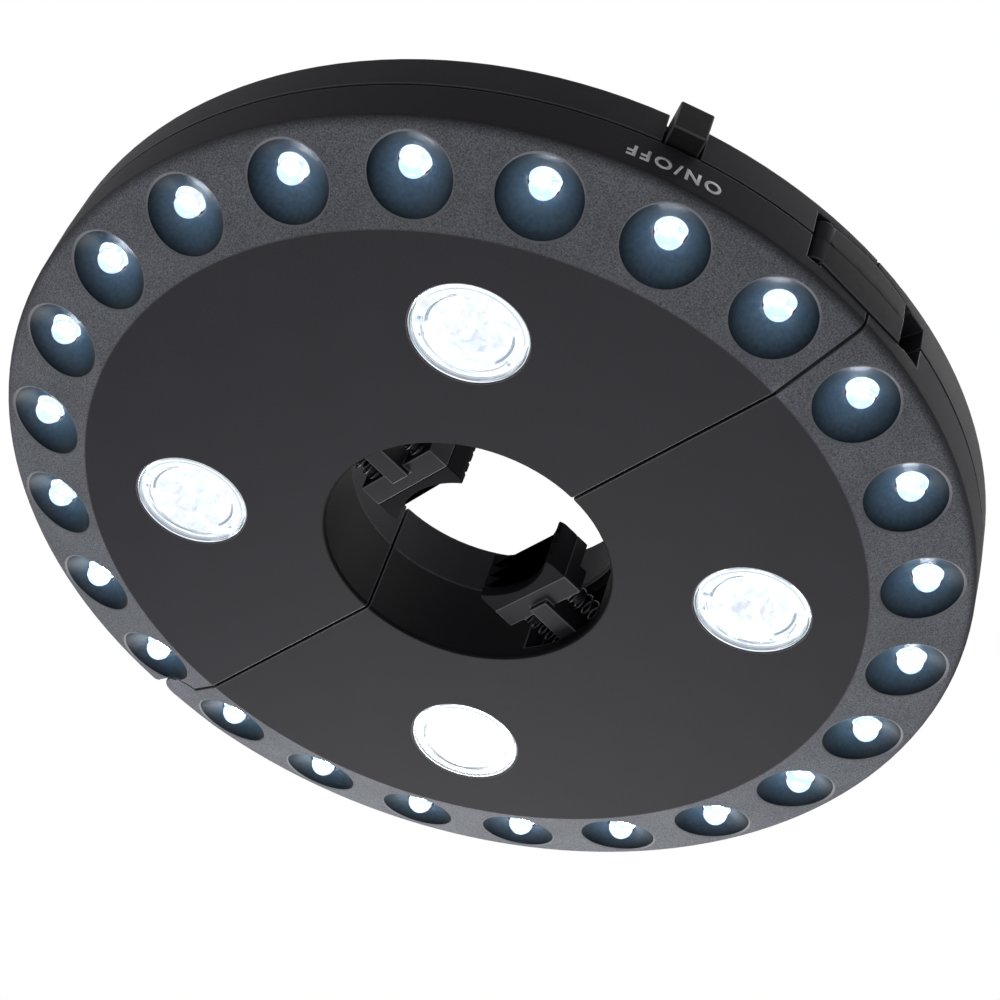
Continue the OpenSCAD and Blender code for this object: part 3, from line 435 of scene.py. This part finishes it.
# Metals: dark and light shade, roughness, squeeze of the streaks along each axis
spring = workedMetal("blackenedSpringSteel", "#2c2d30", "#4b4d50", 0.42)
zinc = workedMetal("zincPlatedSteel", "#7d7f82", "#c2c4c6", 0.36, (3, 3, 3))
nickel = workedMetal("nickelPlatedSteel", "#8f9194", "#cfd0d0", 0.28, (1, 14, 1))
brass = workedMetal("turnedBrass", "#a5813d", "#d6b56a", 0.3, (2, 2, 2))
silver = workedMetal("silverPlatedFrame", "#b9bcc2", "#eceef0", 0.22, (4, 4, 4))

# Clear plastics: tint, index of refraction, glow and its strength
epoxy = clearPlastic("clearEpoxyLamp", "#dcebff", 1.53, "#c8e0ff", 0.65)
acrylic = clearPlastic("clearAcrylicLens", "#e6f0f6", 1.49, "#e6f2ff", 0.12)

# Lit surfaces: dim and bright shade, strength, size of a swirl in mm
phosphor = litSurface("litPhosphor", "#d5e8ff", "#ffffff", 70.0, 0.4)
litOptic = litSurface("litAcrylicOptic", "#e2e1e8", "#fffefe", 0.94, 3.4)
litWell = litSurface("litAcrylicWell", "#d6d7e0", "#fffeff", 0.9, 2.4)
print("materials made")


dressing = {
    "mergeGap": 1e-6,
    "flatTo": 0.05,                     # degrees: triangles this close to one plane become one face
    "shallow": 16, "bevelFrom": 32,     # degrees: below the first an edge is part of a curve
    "smoothTo": 38, "segments": 2, "weight": 50,
    # node endings whose edges are painted lighter, as rubbed wear and as a painted edge highlight
    "wornAndLit": ("shell", "cover", "battery_door", "hook", "latch_lever", "power_button", "jaw"),
    "plans": {                          # node ending: (material, edge radius in mm)
        "shell": (casing, 0.22), "cover": (cover, 0.22), "battery_door": (cover, 0.2),
        "hook": (cover, 0.25), "latch_lever": (latchAbs, 0.2), "power_button": (buttonAbs, 0.3),
        "jaw": (jawAbs, 0.25), "jaw_pad": (rubber, 0.25), "jaw_guide": (jawAbs, 0.2),
        "case_screws": (zinc, 0.08), "guide_screws": (zinc, 0.06), "switch_body": (switchPlastic, 0.2),
        "switch_plunger": (plungerPlastic, 0.15), "contact_plates": (nickel, 0.04),
        "link_pins": (brass, 0.08), "link_pads": (brass, 0.08), "hinge_pin": (nickel, 0.15),
        "latch_pin": (nickel, 0.12), "hook_pin": (spring, 0.12), "board": (boardMask, 0.1),
        "spot_leds": (ledBody, 0.12),
    },
}


# A copy of a CAD node with its triangles merged, its edges softened and its flats kept flat
def dressNode(node, material, edge, wornAndLit=None):
    piece = bpy.data.objects.new(node + "_look", nodes[node].data.copy())
    bpy.context.scene.collection.objects.link(piece)
    paint(piece, *([material, wornAndLit] if wornAndLit else [material]))
    editAll(piece)
    bpy.ops.mesh.remove_doubles(threshold=dressing["mergeGap"])
    bpy.ops.mesh.customdata_custom_splitnormals_clear()
    bpy.ops.mesh.dissolve_limited(angle_limit=math.radians(dressing["flatTo"]), delimit={"NORMAL"})
    bpy.ops.mesh.select_all(action="DESELECT")
    shaped = bmesh.from_edit_mesh(piece.data)
    low, high = math.radians(dressing["shallow"]), math.radians(dressing["bevelFrom"])
    for line in shaped.edges:
        line.select_set(low < line.calc_face_angle(0) < high)
    bpy.ops.mesh.mark_sharp()
    bpy.ops.object.mode_set(mode="OBJECT")
    # the bevel faces take the lighter edge plastic: painted edge highlight and rubbed wear
    useModifier(piece, "BEVEL", width=edge * mm, segments=dressing["segments"], limit_method="ANGLE",
                angle_limit=high, use_clamp_overlap=False, loop_slide=False,
                material=1 if wornAndLit else -1)
    smoothPiece(piece, dressing["smoothTo"])
    useModifier(piece, "WEIGHTED_NORMAL", keep_sharp=True, weight=dressing["weight"])
    return setUp(piece, bodyOf[node], slotOf[node], node)


looks = {}
for node in nodes:
    for ending, (material, edge) in dressing["plans"].items():
        if node == ending or node.endswith("_" + ending):
            wornAndLit = wornAndLitEdge if ending in dressing["wornAndLit"] else None
            looks[node] = dressNode(node, material, edge, wornAndLit)
print("dressed", len(looks), "nodes")


leverCrease = {"z": 16.5, "half": 0.14, "deep": 0.14, "fromR": 94.0, "smoothTo": 30}


# A fine crease runs along the middle of the latch lever
def creaseLever(piece):
    look = leverCrease
    for z in (look["z"] - look["half"], look["z"], look["z"] + look["half"]):
        editAll(piece)
        bpy.ops.mesh.bisect(plane_co=(0, 0, z * mm), plane_no=(0, 0, 1))
    bpy.ops.mesh.select_all(action="DESELECT")
    bpy.ops.mesh.select_mode(type="VERT")
    shaped = bmesh.from_edit_mesh(piece.data)
    for point in shaped.verts:
        onMiddle = abs(point.co.z - look["z"] * mm) < dressing["mergeGap"]
        point.select_set(onMiddle and math.hypot(point.co.x, point.co.y) > look["fromR"] * mm)
    shaped.select_flush(True)
    bpy.ops.transform.translate(value=(-look["deep"] * mm, 0, 0))
    bpy.ops.object.mode_set(mode="OBJECT")
    smoothPiece(piece, look["smoothTo"])
    useModifier(piece, "WEIGHTED_NORMAL", keep_sharp=True, weight=dressing["weight"])


creaseLever(looks["latch_lever"])


bowls = {
    "count": 24, "start": 7.5, "step": 15,      # degrees from the halves' split, and from bowl to bowl
    "ring": 87.5, "r": 9.9, "z": -2.8,          # mm: the balls that the bowls are cut with
    "top": 8.9, "skin": 0.012,                  # mm: a bowl's faces are below top and this near the ball
    "lipIn": 0.2, "lipOut": 0.45, "lipHigh": 0.4,   # mm from the rim that a lip may reach
    "lipFlat": 0.985,                           # a face that looks straighter out than this is band
}


# The bowls that the small lamps sit in are polished in the tool, and their soft lips are painted pale as a
# highlight
def polishBowls(piece):
    for material in (bowlGlossAndLampLight, lipPaintedHighlight):
        piece.data.materials.append(material)
    bowlSlot, lipSlot = 2, 3
    ring, z = bowls["ring"], bowls["z"]
    tilt = math.radians(bowlLook["lean"])
    drop = (ring - casingLook["flatR"]) * math.sin(tilt) - z * math.cos(tilt)
    rim = math.sqrt(bowls["r"] ** 2 - drop ** 2)
    turns = [math.radians(bowls["start"] + bowls["step"] * k) for k in range(bowls["count"])]
    middles = np.array([(ring * math.cos(a), ring * math.sin(a), z) for a in turns])
    axes = np.array([(math.sin(tilt) * math.cos(a), math.sin(tilt) * math.sin(a), -math.cos(tilt))
                     for a in turns])
    for face in piece.data.polygons:
        away = np.array(face.center) / mm - middles
        nearest = np.linalg.norm(away, axis=1).argmin()
        out, up = np.linalg.norm(away[nearest]), away[nearest] @ axes[nearest]
        across = math.sqrt(out ** 2 - up ** 2)
        facing = face.normal @ Vector(axes[nearest])
        if face.center.z < bowls["top"] * mm and out < bowls["r"] + bowls["skin"]:
            face.material_index = bowlSlot
        elif (abs(up + drop) < bowls["lipHigh"] and 0 < facing < bowls["lipFlat"]
              and rim - bowls["lipIn"] < across < rim + bowls["lipOut"]):
            face.material_index = lipSlot


for half in halves:
    polishBowls(looks[half + "_shell"])


lampLook = {                            # mm; profiles hold (radius, height)
    "ringR": 86.1, "domeR": 2.5, "domeZ": 5.8, "domeStep": 12,
    "flange": [(2.82, 8.2), (2.9, 8.12), (2.9, 7.3), (2.82, 7.2), (2.5, 7.2), (2.5, 5.8)],
    "cathodeY": 2.6,
    "cup": [(0.5, 7.9), (1.05, 7.75), (1.1, 7.6), (1.1, 6.75), (1.05, 6.7), (0.9, 6.7), (0.45, 7.25)],
    "phosphor": [(0.4, 7.2), (0.82, 6.85), (0.8, 6.72), (0.55, 6.55), (0.25, 6.47), (0, 6.45)],
    "cupY": -0.35,
    "lead": [(0.25, 7.3), (0.3, 7.4), (0.3, 11.3), (0.22, 11.4)], "leadY": 1.27,
    "anvilPlace": (0, 0.95, 7.35), "anvilSize": (0.5, 0.9, 0.7), "anvilEdge": 0.1,
}


# A small lamp: epoxy dome with its flange, silver frame with its cup, and the lit phosphor in it
def lampParts():
    look = lampLook
    domeR, domeZ = look["domeR"], look["domeZ"]
    bends = [math.radians(a) for a in range(look["domeStep"], 90, look["domeStep"])]
    dome = [(domeR * math.cos(a), domeZ - domeR * math.sin(a)) for a in bends]
    body = turnedPiece("lampBody", look["flange"] + dome + [(0, domeZ - domeR)], 40)
    editAll(body)
    # the flat on the flange that marks the cathode
    bpy.ops.mesh.bisect(plane_co=(0, look["cathodeY"] * mm, 0), plane_no=(0, 1, 0), clear_outer=True,
                        use_fill=True)
    bpy.ops.object.mode_set(mode="OBJECT")
    smoothPiece(body, 30)
    paint(body, epoxy)
    cup = turnedPiece("lampCup", look["cup"], 24)
    cup.data.transform(Matrix.Translation((0, look["cupY"] * mm, 0)))
    leads = []
    for side in (-1, 1):
        lead = turnedPiece("lampLead", look["lead"], 12)
        lead.data.transform(Matrix.Translation((0, side * look["leadY"] * mm, 0)))
        leads.append(lead)
    deselectAll()
    bpy.ops.mesh.primitive_cube_add(size=1, location=Vector(look["anvilPlace"]) * mm,
                                    scale=Vector(look["anvilSize"]) * mm)
    anvil = bpy.context.object
    bpy.ops.object.transform_apply(location=True, rotation=True, scale=True)
    useModifier(anvil, "BEVEL", width=look["anvilEdge"] * mm, segments=2)
    metal = joinPieces("lampFrame", [cup, anvil] + leads)
    smoothPiece(metal, 35)
    paint(metal, silver)
    fill = turnedPiece("lampPhosphor", look["phosphor"], 20)
    fill.data.transform(Matrix.Translation((0, look["cupY"] * mm, 0)))
    smoothPiece(fill, 40)
    paint(fill, phosphor)
    return {"Body": body, "Frame": metal, "Phosphor": fill}


lampModel = lampParts()
lampSlots = {"Body": "lamp", "Frame": "steel", "Phosphor": "chip"}
for half, side in halves.items():
    for k in range(bowls["count"] // 2):
        turn = math.radians(side * (bowls["start"] + bowls["step"] * k))
        place = Matrix.Rotation(turn, 4, "Z") @ Matrix.Translation((lampLook["ringR"] * mm, 0, 0))
        for part, model in lampModel.items():
            piece = copyPiece(model, "%sLamp%s_%02d" % (half, part, k + 1), place)
            replaced = [half + "_ring_lamps"] if part == "Body" and k == 0 else []
            setUp(piece, half + "_half", lampSlots[part], *replaced)
for model in lampModel.values():
    bpy.data.objects.remove(model)
print("ring lamps placed")


lensLook = {                            # mm and degrees; profiles hold (radius, height)
    "places": {1: ("front", -45), 2: ("front", -135), 3: ("rear", 45), 4: ("rear", 135)},
    "ringR": 55, "sides": 96, "smoothTo": 25,
    "plug": [(8.3, 0.5), (8.45, 0.42), (8.7, 0.08), (8.85, 0.0), (10.1, 0.0), (10.2, 0.22), (10.4, 0.22),
             (10.5, 0.0), (10.85, 0.0), (11.0, 0.12), (11.0, 2.0), (12.2, 2.0), (12.3, 2.1), (12.3, 3.0),
             (12.2, 3.1), (10.8, 3.1), (10.7, 3.0), (10.7, 1.5)],
    "optic": [(2.4, 5.0), (2.6, 4.9), (4.9, 1.8), (5.1, 1.7), (7.7, 1.7), (7.8, 2.2), (8.15, 2.2),
              (8.25, 1.7), (10.4, 1.7), (10.5, 1.8), (10.5, 2.9), (10.3, 3.1), (8.6, 5.0), (6.6, 6.9),
              (4.8, 8.2), (3.3, 8.2), (3.3, 6.0), (3.1, 5.8)],
    "wellR": 5.0, "wellZ": (1.75, 4.95),
    "shadeArcs": ((-136, -62), (44, 100)), "shadeR": (7.6, 8.3), "shadeZ": 2.25,
    "leg": [(0.8, 3.2), (0.9, 3.3), (0.9, 9.3), (0.8, 9.4)], "legAngles": (15, 135, 255), "legRing": 10.4,
    "pip": [(0.3, 1.56), (0.4, 1.6), (0.4, 2.2)], "pips": ((-128, 9.2), (-152, 9.3), (85, 9.3), (108, 9.2)),
}


# Small round pieces around the lens's axis; places holds each one's angle and distance
def turnedAround(name, profile, sides, places):
    pieces = []
    for angle, out in places:
        piece = turnedPiece(name, profile, sides)
        piece.data.transform(Matrix.Rotation(math.radians(angle), 4, "Z")
                             @ Matrix.Translation((out * mm, 0, 0)))
        pieces.append(piece)
    return pieces


# A spot lens: clear plug with a double rim, the lit optic behind it with its well, pips and legs
def lensParts():
    look = lensLook
    plug = turnedPiece("lensPlug", look["plug"], look["sides"])
    smoothPiece(plug, look["smoothTo"])
    paint(plug, acrylic)
    optic = turnedPiece("lensOptic", look["optic"], look["sides"])
    smoothPiece(optic, look["smoothTo"])
    paint(optic, litOptic, paintedLensShade, litWell)
    shadeSlot, wellSlot = 1, 2
    shadeLow, shadeHigh = look["shadeR"]
    wellLow, wellHigh = look["wellZ"]
    for face in optic.data.polygons:
        x, y, z = face.center / mm
        out = math.hypot(x, y)
        turn = math.degrees(math.atan2(y, x))
        inArc = any(a <= turn <= b or a <= turn + 360 <= b for a, b in look["shadeArcs"])
        # two arcs of the groove take painted shade
        if inArc and shadeLow < out < shadeHigh and z < look["shadeZ"] and len(face.vertices) == 4:
            face.material_index = shadeSlot
        elif out < look["wellR"] and wellLow < z < wellHigh:
            face.material_index = wellSlot
    legPlaces = [(angle, look["legRing"]) for angle in look["legAngles"]]
    small = turnedAround("lensLeg", look["leg"], 20, legPlaces)
    small += turnedAround("lensPip", look["pip"], 16, look["pips"])
    legs = joinPieces("lensLegs", small)
    smoothPiece(legs, 35)
    paint(legs, paintedLensShade)
    return {"Plug": plug, "Optic": optic, "Legs": legs}


lensModel = lensParts()
for number, (half, angle) in lensLook["places"].items():
    turn, ringR = math.radians(angle), lensLook["ringR"] * mm
    place = Matrix.Translation((ringR * math.cos(turn), ringR * math.sin(turn), 0))
    for part, model in lensModel.items():
        piece = copyPiece(model, "spotLens%s_%d" % (part, number), place)
        replaced = ["spot_lens_%d" % number] if part == "Plug" else []
        setUp(piece, half + "_half", "chip" if part == "Optic" else "lens", *replaced)
for model in lensModel.values():
    bpy.data.objects.remove(model)
print("spot lenses placed")


coilLook = {                            # mm
    "wire": 0.5, "wireSides": 10, "outerR": 2.1, "turns": 10, "steps": 24, "fromY": 21.2, "toY": 42.0,
    "x": 5.85, "z": 6.6, "closedPitch": 1.04,   # the last in wire diameters
}


# A compression spring of three stretches, each with its own pitch: closed turns lie at both ends
def springCoil(name, look):
    wireR = look["wire"] / 2
    length = look["toY"] - look["fromY"] - look["wire"]
    closed = look["wire"] * look["closedPitch"]
    stretches = [(1, closed), (look["turns"], (length - 2 * closed) / look["turns"]), (1, closed)]
    parts, at = [], wireR
    for turns, pitch in stretches:
        deselectAll()
        bpy.ops.mesh.primitive_circle_add(vertices=look["wireSides"], radius=wireR * mm,
                                          rotation=(math.pi / 2, 0, 0),
                                          location=((look["outerR"] - wireR) * mm, 0, at * mm))
        part = bpy.context.object
        bpy.ops.object.transform_apply(location=True, rotation=True, scale=True)
        useModifier(part, "SCREW", axis="Z", angle=2 * math.pi, screw_offset=pitch * mm, iterations=turns,
                    steps=look["steps"], render_steps=look["steps"])
        parts.append(part)
        at += turns * pitch
    coil = joinPieces(name, parts)
    editAll(coil)
    bpy.ops.mesh.remove_doubles(threshold=2e-6)
    bpy.ops.mesh.fill_holes(sides=look["wireSides"] + 2)
    bpy.ops.mesh.select_all(action="SELECT")
    bpy.ops.mesh.normals_make_consistent(inside=False)
    bpy.ops.object.mode_set(mode="OBJECT")
    smoothPiece(coil, 50)
    return coil


coilModel = springCoil("coil", coilLook)
paint(coilModel, spring)
for half, side in halves.items():
    upright = Matrix.Rotation(-side * math.pi / 2, 4, "X")
    near, far = [(0, side * coilLook[end] * mm, coilLook["z"] * mm) for end in ("fromY", "toY")]
    pair = [copyPiece(coilModel, "coilCopy", Matrix.Translation((x * mm, near[1], near[2])) @ upright)
            for x in (-coilLook["x"], coilLook["x"])]
    springs = joinPieces(half + "JawSprings", pair)
    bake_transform(springs)
    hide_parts(half + "_jaw_springs")
bpy.data.objects.remove(coilModel)
print("springs wound")


cellLook = {"count": 4, "edge": 0.15, "bareR": 6.2}     # mm

# The cells have a printed sleeve and bare metal ends; the contact springs keep their CAD shape
for k in range(1, cellLook["count"] + 1):
    node = "battery_%d" % k
    cell = dressNode(node, sleeve, cellLook["edge"])
    cell.data.materials.append(nickel)
    low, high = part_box(node)
    middle = (low + high) / 2
    for face in cell.data.polygons:
        out = math.hypot(face.center.y - middle.y, face.center.z - middle.z)
        if out < cellLook["bareR"] * mm:
            face.material_index = 1
for half in halves:
    for slot in nodes[half + "_contact_springs"].material_slots:
        slot.material = spring
print("cells wrapped")


printLook = {                           # mm and degrees; bold and gap are in the letters' own size
    "text": "ON/OFF", "wide": 17.2, "high": 2.85, "thick": 0.04, "lift": 0.005,
    "angle": -25.2, "z": 11.0, "wallR": 95.0, "bold": 0.028, "gap": 1.3,
}


def meshSpan(piece):
    spots = np.array([vertex.co for vertex in piece.data.vertices])
    return spots.min(0), spots.max(0)


# The words under the button, printed on the curved wall
def sidePrint():
    look = printLook
    deselectAll()
    bpy.ops.object.text_add()
    letters = bpy.context.object.data
    letters.body = look["text"]
    letters.align_x = "CENTER"
    letters.align_y = "CENTER"
    letters.space_character = look["gap"]
    letters.offset = look["bold"]
    letters.resolution_u = 8
    bpy.ops.object.convert(target="MESH")
    words = bpy.context.object
    words.name = "sidePrint"
    tidyMesh(words, 1e-5)
    low, high = meshSpan(words)
    useModifier(words, "SOLIDIFY", thickness=look["thick"] * (high[0] - low[0]) / look["wide"], offset=0)
    low, high = meshSpan(words)
    for vertex in words.data.vertices:
        across = ((vertex.co.x - low[0]) / (high[0] - low[0]) - 0.5) * look["wide"]
        up = ((vertex.co.y - low[1]) / (high[1] - low[1]) - 0.5) * look["high"]
        out = look["wallR"] + look["lift"] + (look["thick"] if vertex.co.z > 0 else 0)
        turn = math.radians(look["angle"]) - across / look["wallR"]
        vertex.co = Vector((out * math.cos(turn), out * math.sin(turn), look["z"] - up)) * mm
    tidyMesh(words, 1e-7)
    paint(words, ink)
    setUp(words, "front_half", "button")


sidePrint()
print("print laid on the side")


studio = {
    "floorZ": -1.2, "floorSize": 60, "floor": ("#ececea", "#f4f4f2"), "patch": 300,
    "floorRoughness": 0.8, "floorGlow": 0.8, "ambient": 0.17,
    "lights": {                         # place in m, watts, size in m
        "keyLight": ((0.15, -0.05, -1.1), 3.4, 0.8),
        "farLight": ((-0.4, 0.34, -0.24), 4.4, 0.35),
        "sideLight": ((-0.3, -1.3, 0.1), 3.0, 1.0),
        "topLight": ((0.3, 0.5, 1.4), 14.0, 1.0),
    },
    "camera": {"place": (0.29314, -0.17797, -0.31311), "right": (0.69624, 0.67343, 0.24849),
               "up": (0.3728, -0.63506, 0.67655), "away": (-0.61342, 0.3784, 0.69321),
               "lens": 88.07, "sensor": 36, "nearest": 0.01},
}
plainWhite = (1, 1, 1, 1)


# Painted board, pale and dull with faint patches: the camera sees most of it as plain white, and
# the rest takes light and shadow
def paintedBoard():
    material, tree, shader, place = newMaterial("mattePaintedFloor", Roughness=studio["floorRoughness"])
    dark, light = studio["floor"]
    tone = addNode(tree, "TexNoise", {"Vector": place, "Scale": 1 / (studio["patch"] * mm),
                                      "Detail": 2}).outputs["Fac"]
    share = addNode(tree, "MapRange", {0: tone, **noiseSpan}).outputs[0]
    colour = addNode(tree, "Mix", {0: share, 6: toLinear(dark), 7: toLinear(light)},
                     data_type="RGBA").outputs[2]
    linkTo(tree, shader, Base_Color=colour)
    cameraRay = addNode(tree, "LightPath").outputs["Is Camera Ray"]
    glow = addNode(tree, "Math", {0: cameraRay, 1: studio["floorGlow"]}, operation="MULTIPLY").outputs[0]
    white = addNode(tree, "Emission", {"Color": plainWhite, "Strength": 1.0})
    mixed = addNode(tree, "MixShader", {0: glow, 1: shader.outputs[0], 2: white.outputs[0]})
    tree.links.new(mixed.outputs[0], tree.nodes["Material Output"].inputs["Surface"])
    return material


# Dim for the light that falls on things, plain white wherever it is seen or mirrored
def whiteWorld():
    world = bpy.data.worlds.new("studio")
    bpy.context.scene.world = world
    world.use_nodes = True
    tree = world.node_tree
    tree.nodes.clear()
    path = addNode(tree, "LightPath").outputs
    seen = path["Is Camera Ray"]
    for ray in ("Is Glossy Ray", "Is Transmission Ray"):
        seen = addNode(tree, "Math", {0: seen, 1: path[ray]}, operation="MAXIMUM").outputs[0]
    dim = addNode(tree, "Background", {"Color": plainWhite, "Strength": studio["ambient"]})
    white = addNode(tree, "Background", {"Color": plainWhite, "Strength": 1.0})
    mixed = addNode(tree, "MixShader", {0: seen, 1: dim.outputs[0], 2: white.outputs[0]})
    addNode(tree, "OutputWorld", {"Surface": mixed.outputs[0]})


deselectAll()
bpy.ops.mesh.primitive_plane_add(size=studio["floorSize"], location=(0, 0, studio["floorZ"]))
floor = bpy.context.object
floor.name = "floor"
paint(floor, paintedBoard())
whiteWorld()

for name, (place, watts, size) in studio["lights"].items():
    deselectAll()
    bpy.ops.object.light_add(type="AREA", location=place)
    light = bpy.context.object
    light.name = name
    light.data.energy = watts
    light.data.size = size
    light.rotation_euler = (-Vector(place)).to_track_quat("-Z", "Y").to_euler()

deselectAll()
bpy.ops.object.camera_add()
camera = bpy.context.object
look = studio["camera"]
turned = Matrix((look["right"], look["up"], [-v for v in look["away"]])).transposed().to_4x4()
camera.matrix_world = Matrix.Translation(look["place"]) @ turned
camera.data.lens = look["lens"]
camera.data.sensor_width = look["sensor"]
camera.data.clip_start = look["nearest"]
camera.data.dof.use_dof = False
bpy.context.scene.camera = camera
bpy.context.scene.view_settings.view_transform = "Standard"
print("studio set")
